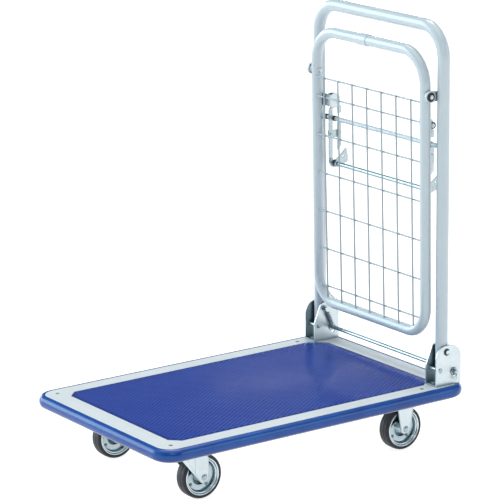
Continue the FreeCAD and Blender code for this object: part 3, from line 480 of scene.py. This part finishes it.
def add_lozenge(bm, x, y, base):
    """One raised lozenge of the mat, four-sided with a rounded-off slope and a flat top."""
    rings = []
    for share, rise in ((0.86, -0.05 * MM), (0.80, 0.16 * MM), (0.68, 0.32 * MM), (0.52, STUD_TALL)):
        u, w = share * STUD_HALF_X, share * STUD_HALF_Y
        z = base + rise
        rings.append([bm.verts.new(corner) for corner in ((x + u, y, z), (x, y + w, z),
                                                          (x - u, y, z), (x, y - w, z))])
    for lower, upper in zip(rings, rings[1:]):
        for k in range(4):
            after = (k + 1) % 4
            bm.faces.new((lower[k], lower[after], upper[after], upper[k]))
    bm.faces.new(rings[-1])


def make_mat():
    """Vinyl mat with a close lattice of raised lozenges and a plain rim."""
    low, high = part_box("deck_mat")
    a, b = high.x, high.y
    cut, rear_cut = MAT_CHAMFER, MAT_REAR_CHAMFER
    corners = [(a, b - rear_cut), (a - rear_cut, b), (-a + cut, b), (-a, b - cut),
               (-a, -b + cut), (-a + cut, -b), (a - rear_cut, -b), (a, -b + rear_cut)]
    base = high.z - STUD_TALL
    rings = []
    for inset, z in ((0.0, low.z), (0.0, base - 0.4 * MM), (0.15 * MM, base - 0.1 * MM),
                     (0.7 * MM, base)):
        rings.append([Vector((x * (a - inset) / a, y * (b - inset) / b, z)) for x, y in corners])
    bm = bmesh.new()
    loft(bm, rings, closed=False, capped=True)
    plain_rim = 5.0 * MM
    rows = int((b - plain_rim) / STUD_HALF_Y)
    columns = int((a - plain_rim) / STUD_HALF_X)
    for row in range(-rows, rows + 1):
        for column in range(-columns, columns + 1):
            x, y = column * STUD_HALF_X, row * STUD_HALF_Y
            corner_cut = cut if x < 0 else rear_cut
            if (row + column) % 2 == 0 and abs(x) + abs(y) <= a + b - corner_cut - 2 * plain_rim:
                add_lozenge(bm, x, y, base)
    finish_piece("embossed_mat", bm, "mat_vinyl", BODY_OF["deck_mat"], ("deck_mat",), 30.0)


# ---- wheels ----
def mirrored(half):
    """A closed profile from one half of it and the same half on the other side."""
    return half + [(r, -s) for r, s in reversed(half)]


def make_wheel(tag):
    """Tyre with a moulded shoulder, two pressed rim halves, and the rim's eyelets and bushes."""
    tyre, rim, fittings = "tyre_" + tag, "rim_" + tag, "wheel_fittings_" + tag
    centre = middle(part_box(tyre))
    body = BODY_OF[tyre]
    bm = bmesh.new()
    tyre_half = [(35.55, 8.8), (36.15, 10.6), (38.0, 11.8), (38.6, 12.5), (39.0, 13.1), (39.7, 13.45),
                 (40.6, 13.5), (41.0, 13.15), (41.6, 13.1), (42.6, 12.75), (43.5, 12.0),
                 (44.15, 11.0), (44.5, 10.0), (44.65, 8.6), (44.75, 5.0), (44.8, 0.5), (45.0, 0.2)]
    lathe(bm, mirrored(tyre_half), centre, steps=128)
    finish_piece("rubber_" + tyre, bm, "tyre", body, (tyre,), 35.0)

    bm = bmesh.new()
    rim_half = [(7.0, 15.9), (8.6, 15.9), (9.6, 15.5), (10.6, 14.0), (12.2, 11.0), (14.4, 7.2),
                (16.8, 4.0), (18.4, 1.9), (20.0, 1.3), (28.8, 1.3), (30.0, 1.8), (30.7, 3.4),
                (31.2, 7.0), (31.8, 9.4), (32.6, 10.2), (33.6, 10.4), (34.4, 10.2), (34.9, 10.9),
                (35.4, 12.2), (36.1, 12.95), (36.9, 13.2), (37.7, 13.0), (38.1, 12.4), (37.7, 11.8),
                (36.0, 10.8), (35.5, 9.0), (35.4, 0.1), (31.0, 0.1), (7.0, 0.1)]
    for side in (-1, 1):
        lathe(bm, [(r, side * s) for r, s in rim_half], centre, steps=128)
    finish_piece("pressed_" + rim, bm, "rim_zinc", body, (rim,), 50.0)

    bm = bmesh.new()
    eyelet = [(1.1, 0.8), (1.1, 2.4), (1.5, 3.0), (2.1, 3.1), (2.7, 2.6), (3.0, 1.8), (3.0, 0.8)]
    eyelet_circle_r = 25.6
    for start in (38.0, 128.0, 218.0, 308.0):
        turn = math.radians(start)
        offset = Vector((eyelet_circle_r * math.cos(turn), 0.0, eyelet_circle_r * math.sin(turn))) * MM
        for side in (-1, 1):
            lathe(bm, [(r, side * s) for r, s in eyelet], centre + offset, steps=20)
    bush = [(4.1, 16.2), (6.9, 16.2), (6.9, 4.0), (4.1, 4.0)]
    for side in (-1, 1):
        lathe(bm, [(r, side * s) for r, s in bush], centre, steps=40)
    finish_piece("eyelets_" + tag, bm, "rim_zinc", body, (fittings,), 50.0)


# ---- handle hinge details ----
def spring_points(top, bottom, coil_r, coils):
    """Line of a close-wound extension spring with a hook round a Y pin at each end."""
    axis = (bottom - top).normalized()
    side = Vector((0.0, 1.0, 0.0))
    across = side.cross(axis).normalized()
    hook_r = 4.6 * MM
    points = []
    for step in range(13):
        turn = math.radians(-90.0 + 270.0 * step / 12)
        points.append(top - hook_r * (across * math.sin(turn) + axis * math.cos(turn)))
    start = hook_r * 1.7
    run = (bottom - top).length - 2 * start
    per_coil = 14
    steps = coils * per_coil
    for step in range(steps + 1):
        turn = 2.0 * math.pi * step / per_coil
        grow = min(1.0, 2.0 * step / per_coil, 2.0 * (steps - step) / per_coil)
        radius = coil_r * max(0.25, grow)
        points.append(top + axis * (start + run * step / steps)
                      + radius * (across * math.cos(turn) + side * math.sin(turn)))
    for step in range(13):
        turn = math.radians(90.0 + 270.0 * step / 12)
        points.append(bottom + hook_r * (across * math.sin(turn) + axis * math.cos(turn)))
    return points


def make_springs():
    """Two springs side by side at each bracket, from the fold pin's tip down to the rod."""
    pin = middle(islands("fold_pins")[0])
    rod = middle(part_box("lock_rod"))
    coil_r, wire_r, coils = 2.2 * MM, 0.6 * MM, 16
    bm = bmesh.new()
    for y in (-183.6, -178.0, 178.0, 183.6):
        top = Vector((pin.x, y * MM, pin.z))
        bottom = Vector((rod.x, y * MM, rod.z))
        tube_along(bm, spring_points(top, bottom, coil_r, coils), wire_r, 8)
    piece = finish_piece("lock_spring_coils", bm, "bearing_steel", None, ("lock_springs",), 60.0)
    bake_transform(piece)


def make_split_pins():
    """Split pins of bent wire: an eye below the rod and two spread tips above."""
    wire_r, eye_r = 0.72 * MM, 3.5 * MM
    half_leg = [(0.62, -8.0), (0.62, 0.0), (0.62, 4.8), (1.6, 6.4), (3.4, 7.2)]
    bm = bmesh.new()
    rod = middle(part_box("lock_rod"))
    for box in islands("lock_split_pins"):
        y = middle(box).y
        eye = Vector((rod.x, y, box[0].z + 4.4 * MM))
        first, second = ([Vector((rod.x + side * x * MM, y, rod.z + z * MM)) for x, z in half_leg]
                         for side in (-1, 1))
        loop = []
        for step in range(21):
            turn = math.radians(105.0 + 330.0 * step / 20)
            loop.append(eye + eye_r * Vector((math.cos(turn), 0.0, math.sin(turn))))
        tube_along(bm, list(reversed(first)) + loop + second, wire_r, 8)
    finish_piece("split_pin_wires", bm, "zinc", BODY_OF["lock_split_pins"], ("lock_split_pins",), 60.0)


def make_e_rings():
    """Spring clips in the pin grooves: three inward teeth and an open mouth."""
    pin = middle(islands("fold_pins")[0])
    steps = 60
    bm = bmesh.new()
    for box in islands("fold_pin_e_rings"):
        y = middle(box).y
        rings = []
        for step in range(steps + 1):
            turn = math.radians(32.0 + 296.0 * step / steps)
            tooth = max(0.0, math.cos(3.0 * (turn - math.pi / 3.0))) ** 6
            end = min(step, steps - step) / 4.0
            outer = 7.1 - 0.5 * max(0.0, 1.0 - end) ** 2
            inner = 4.9 - 1.6 * tooth if end > 1.0 else 3.6
            c, s = math.cos(turn), math.sin(turn)
            ring = []
            for r, h in ((inner, -0.45), (inner + 0.15, -0.55), (outer - 0.2, -0.55),
                         (outer, -0.35), (outer, 0.35), (outer - 0.2, 0.55),
                         (inner + 0.15, 0.55), (inner, 0.45)):
                ring.append(Vector((pin.x + r * c * MM, y + h * MM, pin.z + r * s * MM)))
            rings.append(ring)
        loft(bm, rings, closed=False, capped=True)
    finish_piece("e_clips", bm, "black_steel", BODY_OF["fold_pin_e_rings"], ("fold_pin_e_rings",))


# ---- welds ----
def bead_ripple(index):
    """Share of its radius that a weld bead has at each point: it swells and thins."""
    return 1.0 + 0.16 * math.sin(1.9 * index)


def upright_axis():
    """X of the handle uprights' centre lines, and their distance from the middle plane."""
    low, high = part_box("handle_tube")
    return (low.x + high.x) / 2, high.y - HANDLE_TUBE_R


def make_crossbar_welds():
    """Fillet welds where the crossbar meets the handle's uprights."""
    bm = bmesh.new()
    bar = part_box("handle_crossbar")
    radius = (bar[1].z - bar[0].z) / 2
    centre = middle(bar)
    upright_x, upright_y = upright_axis()
    for side in (-1, 1):
        points = []
        for step in range(41):
            turn = 2.0 * math.pi * step / 40
            x = centre.x + radius * math.cos(turn)
            reach = math.sqrt(HANDLE_TUBE_R ** 2 - (x - upright_x) ** 2)
            points.append(Vector((x, side * (upright_y - reach), centre.z + radius * math.sin(turn))))
        tube_along(bm, points, 1.3 * MM, 8, bead_ripple)
    finish_piece("crossbar_welds", bm, "tube_paint", BODY_OF["handle_crossbar"])


def make_lug_welds():
    """Welds down each face of the shelf lugs on the handle's uprights."""
    bm = bmesh.new()
    upright_x, upright_y = upright_axis()
    half_long = 9.4 * MM
    for box in islands("shelf_lugs"):
        z = middle(box).z
        for face in (190.6 * MM, 193.4 * MM):
            x = upright_x - math.sqrt(HANDLE_TUBE_R ** 2 - (upright_y - face) ** 2)
            points = [Vector((x, side_of(box) * face, z + half_long * (step / 12.0 - 1.0)))
                      for step in range(25)]
            tube_along(bm, points, 1.2 * MM, 8, bead_ripple)
    finish_piece("lug_welds", bm, "tube_paint", BODY_OF["shelf_lugs"])


def make_mesh_welds():
    """Resistance-weld nuggets where wires cross, and fillets where they meet the frame."""
    bm = bmesh.new()
    upright = islands("mesh_vertical_wires")
    level = islands("mesh_horizontal_wires")
    for low, high in upright:
        y = (low.y + high.y) / 2
        for left, right in level:
            z = (left.z + right.z) / 2
            share = (high.z - z) / (high.z - low.z)
            x_upright = low.x + MESH_WIRE_R + share * (high.x - low.x - 2 * MESH_WIRE_R)
            x = (x_upright + (left.x + right.x) / 2) / 2
            blob(bm, Vector((x, y, z)), (1.3 * MM, 1.9 * MM, 1.9 * MM))
        foot = Vector((high.x - MESH_WIRE_R, y, low.z + 0.8 * MM))
        blob(bm, foot, (1.8 * MM, 2.2 * MM, 1.5 * MM))
    for low, high in level:
        centre = middle((low, high))
        for y in (low.y, high.y):
            blob(bm, Vector((centre.x, y, centre.z)), (2.5 * MM, 2.4 * MM, 2.2 * MM))
    finish_piece("mesh_welds", bm, "wire_paint", BODY_OF["mesh_vertical_wires"], sharp=80.0)


def make_strut_bracket_welds():
    """Welds joining the strut brackets' webs to the back of the shelf frame."""
    frame_back_x, weld_start_y, weld_step = 309.4 * MM, 171.0 * MM, 0.6 * MM
    bm = bmesh.new()
    for box in islands("strut_brackets"):
        for z in (box[0].z + 2.0 * MM, box[1].z - 2.0 * MM):
            points = [Vector((frame_back_x, side_of(box) * (weld_start_y + step * weld_step), z))
                      for step in range(15)]
            tube_along(bm, points, 1.3 * MM, 8, bead_ripple)
    finish_piece("strut_bracket_welds", bm, "tube_paint", BODY_OF["strut_brackets"])


def make_fork_edges():
    """Folded edges of the casters' fork plates, and the crease down each swivel fork's plate."""
    plate_y = 18.9 * MM
    for name, tag in (("swivel_fork_left", "front_left"), ("swivel_fork_right", "front_right"),
                      ("fixed_forks", "rear_left"), ("fixed_forks", "rear_right")):
        wheel = middle(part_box("tyre_" + tag))
        bm = bmesh.new()
        if name == "fixed_forks":
            line = [(-20.8, 97.0), (-17.8, 84.0), (-9.6, 40.0), (-7.6, 37.6), (-4.0, 36.4),
                    (4.0, 36.4), (7.6, 37.6), (9.6, 40.0), (17.8, 84.0), (20.8, 97.0)]
        else:
            line = [(-40.5, 90.5), (-10.6, 40.0), (-8.0, 36.6), (-4.0, 35.4), (4.6, 35.8),
                    (8.0, 37.4), (9.5, 41.0), (9.5, 83.0)]
        for sign in (-1, 1):
            y = wheel.y + sign * plate_y
            points = [Vector((wheel.x + x * MM, y, z * MM)) for x, z in line]
            tube_along(bm, points, 0.55 * MM, 8)
            if name != "fixed_forks":
                crease = [Vector((wheel.x - 20.0 * MM, y, z * MM)) for z in (90.0, 73.0, 56.5)]
                tube_along(bm, crease, 0.6 * MM, 8)
        finish_piece("fork_edges_" + tag, bm, "zinc", BODY_OF[name], sharp=60.0)


finish_cad_nodes()
make_bumper()
make_mat()
for wheel_tag in WHEELS:
    make_wheel(wheel_tag)
make_springs()
make_split_pins()
make_e_rings()
make_crossbar_welds()
make_lug_welds()
make_mesh_welds()
make_strut_bracket_welds()
make_fork_edges()


# ---- stage, light and camera ----
def make_floor():
    """Wide pale floor that glows a little, so that shadows on it stay faint."""
    bm = bmesh.new()
    bmesh.ops.create_grid(bm, x_segments=8, y_segments=8, size=40.0)
    mesh = bpy.data.meshes.new("floor")
    bm.to_mesh(mesh)
    bm.free()
    floor = bpy.data.objects.new("floor", mesh)
    bpy.context.scene.collection.objects.link(floor)
    s = Shader("floor")
    s.set(Roughness=0.9, Specular_IOR_Level=0.0, Emission_Strength=0.85,
          Emission_Color=(1.0, 1.0, 1.0, 1.0))
    s.colour(s.mix(s.noise(0.6, 2.0), (0.40, 0.40, 0.40), (0.41, 0.41, 0.41)))
    mesh.materials.append(s.material)


def add_lamp(name, light, place, target):
    lamp = bpy.data.objects.new(name, light)
    bpy.context.scene.collection.objects.link(lamp)
    lamp.location = place
    aim = Vector(target) - Vector(place)
    lamp.rotation_euler = aim.to_track_quat("-Z", "Y").to_euler()


def area_light(name, place, target, width, height, power, colour=(1.0, 1.0, 1.0)):
    light = bpy.data.lights.new(name, "AREA")
    light.shape = "RECTANGLE"
    light.size = width
    light.size_y = height
    light.energy = power
    light.color = colour
    add_lamp(name, light, place, target)


STUDIO_DIM = (0.20, 0.27, 0.31)
# Bright parts of the studio: direction, the cosines from it where each starts and is full, colour.
STUDIO_PANELS = (
    ((0.58, 0.82, 0.0), 0.2, 0.9, (0.24, 0.28, 0.31)),
    ((0.0, 0.0, 1.0), 0.55, 0.95, (0.9, 0.93, 0.95)),
    ((0.82, -0.58, 0.0), 0.72, 0.95, (0.85, 0.92, 0.98)),
    ((-0.82, 0.58, 0.0), 0.45, 0.85, (1.15, 1.25, 1.3)),
    ((-0.53, 0.82, 0.22), 0.88, 0.98, (4.6, 5.8, 6.4)),
    ((0.56, -0.77, 0.31), 0.965, 0.992, (2.6, 2.9, 3.2)),
    ((0.33, 0.44, 0.83), 0.955, 0.98, (6.0, 6.0, 6.0)),
    ((0.09, 0.99, 0.0), 0.94, 0.98, (4.5, 4.6, 4.7)),
    ((0.91, 0.42, 0.0), 0.955, 0.985, (3.0, 3.1, 3.2)),
)


def make_lights():
    """Soft overhead light, a softbox at the front left, a slim lamp behind, and the studio."""
    world = bpy.data.worlds.new("studio")
    bpy.context.scene.world = world
    world.use_nodes = True
    tree = world.node_tree
    place = tree.nodes.new("ShaderNodeTexCoord")
    total = None
    for toward, start, end, colour in STUDIO_PANELS:
        along = tree.nodes.new("ShaderNodeVectorMath")
        along.operation = "DOT_PRODUCT"
        along.inputs[1].default_value = toward
        tree.links.new(place.outputs["Generated"], along.inputs[0])
        spread = tree.nodes.new("ShaderNodeMapRange")
        spread.interpolation_type = "SMOOTHSTEP"
        spread.inputs["From Min"].default_value = start
        spread.inputs["From Max"].default_value = end
        tree.links.new(along.outputs["Value"], spread.inputs["Value"])
        panel = tree.nodes.new("ShaderNodeMix")
        panel.data_type = "RGBA"
        panel.inputs[6].default_value = (*STUDIO_DIM, 1.0)
        panel.inputs[7].default_value = (*colour, 1.0)
        tree.links.new(spread.outputs["Result"], panel.inputs[0])
        if total is not None:
            tree.links.new(total, panel.inputs[6])
        total = panel.outputs[2]
    tree.links.new(total, tree.nodes["Background"].inputs["Color"])
    tree.nodes["Background"].inputs["Strength"].default_value = 0.8

    sun = bpy.data.lights.new("overhead", "SUN")
    sun.energy = 1.1
    sun.angle = math.radians(70.0)
    add_lamp("overhead", sun, (0.0, 0.0, 4.0), (0.0, 0.0, 0.0))
    area_light("key", (-1.7, -3.4, 2.6), (0.1, 0.0, 0.3), 1.4, 1.4, 17.0)
    area_light("back", (1.98, 2.22, 0.98), (0.28, 0.0, 0.14), 0.9, 0.03, 1.5)


# Where the camera stands (metres), how it is turned (degrees), and its lens (mm on a 36 mm sensor).
CAMERA_PLACE = (-3.0832, -4.3675, 1.8076)
CAMERA_YAW, CAMERA_PITCH, CAMERA_ROLL = 54.782, -14.516, -0.54
CAMERA_LENS = 201.2


def make_camera():
    """Long lens, from the front left and a little above, with a slight roll."""
    yaw, pitch, roll = (math.radians(angle) for angle in (CAMERA_YAW, CAMERA_PITCH, CAMERA_ROLL))
    forward = Vector((math.cos(yaw) * math.cos(pitch), math.sin(yaw) * math.cos(pitch),
                      math.sin(pitch)))
    right = Vector((math.sin(yaw), -math.cos(yaw), 0.0))
    up = right.cross(forward)
    right_rolled = right * math.cos(roll) + up * math.sin(roll)
    up_rolled = up * math.cos(roll) - right * math.sin(roll)
    data = bpy.data.cameras.new("camera")
    data.sensor_width = 36.0
    data.lens = CAMERA_LENS
    data.clip_end = 100.0
    camera = bpy.data.objects.new("camera", data)
    bpy.context.scene.collection.objects.link(camera)
    basis = Matrix((right_rolled, up_rolled, -forward)).transposed().to_4x4()
    camera.matrix_world = Matrix.Translation(CAMERA_PLACE) @ basis
    bpy.context.scene.camera = camera


make_floor()
make_lights()
make_camera()
bpy.context.scene.view_settings.view_transform = "Standard"
